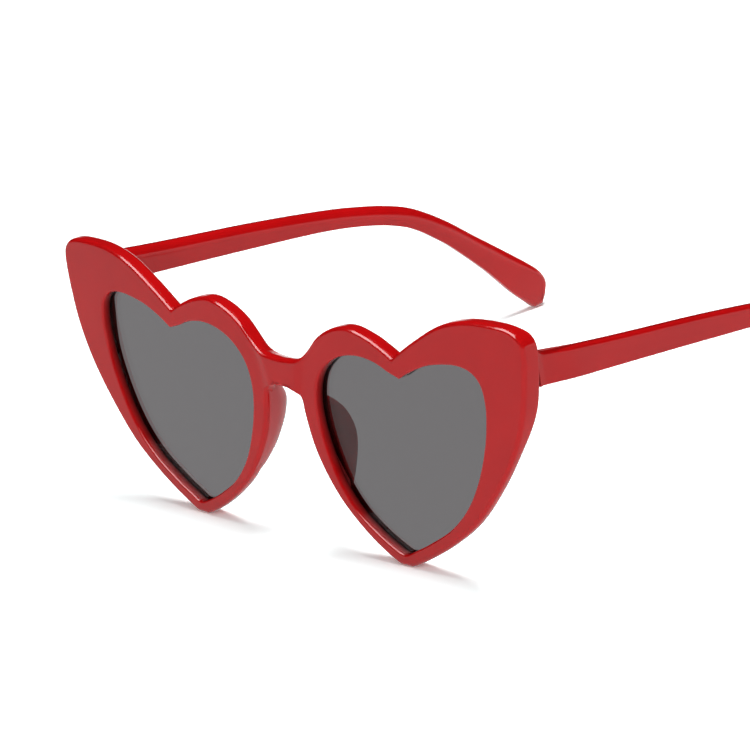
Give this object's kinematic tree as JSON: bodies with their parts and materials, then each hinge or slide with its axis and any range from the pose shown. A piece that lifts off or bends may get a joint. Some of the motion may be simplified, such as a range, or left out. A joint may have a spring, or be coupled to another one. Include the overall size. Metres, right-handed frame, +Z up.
{
  "type": "heart shaped sunglasses",
  "caption": "Sunglasses with a curved one-piece front of two upswept hearts, tinted lenses, nose pads, and folding temples on metal hinges.",
  "frame": {"origin": "On the table plane, under the middle of the glasses' bounding box, as they stand open on the two heart points and the two temple ends.", "axes": "+X runs across the front to the wearer's left, +Y points back along the temples, +Z is up. The front looks along -Y and the glasses are mirror symmetric about X = 0."},
  "size_m": [0.1476, 0.151, 0.0591],
  "materials": {
    "front_plastic": "glossy injection-moulded red plastic",
    "temple_plastic": "glossy injection-moulded red plastic",
    "pad_plastic": "glossy red plastic, cemented on",
    "lens_tint": "neutral grey tint, polished",
    "hinge_metal": "nickel-plated stamped metal",
    "screw_steel": "bright steel"
  },
  "bodies": {
    "front": {"front_frame": "front_plastic", "lens_left": "lens_tint", "lens_right": "lens_tint", "nose_pad_left": "pad_plastic", "nose_pad_right": "pad_plastic", "front_leaf_left": "hinge_metal", "front_leaf_right": "hinge_metal", "hinge_screw_left": "screw_steel", "hinge_screw_right": "screw_steel", "front_rivets_left": "screw_steel", "front_rivets_right": "screw_steel"},
    "left_temple": {"temple_left": "temple_plastic", "temple_leaf_left": "hinge_metal", "temple_rivets_left": "screw_steel"},
    "right_temple": {"temple_right": "temple_plastic", "temple_leaf_right": "hinge_metal", "temple_rivets_right": "screw_steel"}
  },
  "joints": [
    {"name": "left_temple_fold", "type": "hinge", "parent": "front", "child": "left_temple", "pos_m": [0.0692, -0.06635, 0.0476], "axis": [0, 0, 1], "range_deg": [0, 90]},
    {"name": "right_temple_fold", "type": "hinge", "parent": "front", "child": "right_temple", "pos_m": [-0.0692, -0.06635, 0.0476], "axis": [0, 0, -1], "range_deg": [0, 86]}
  ]
}
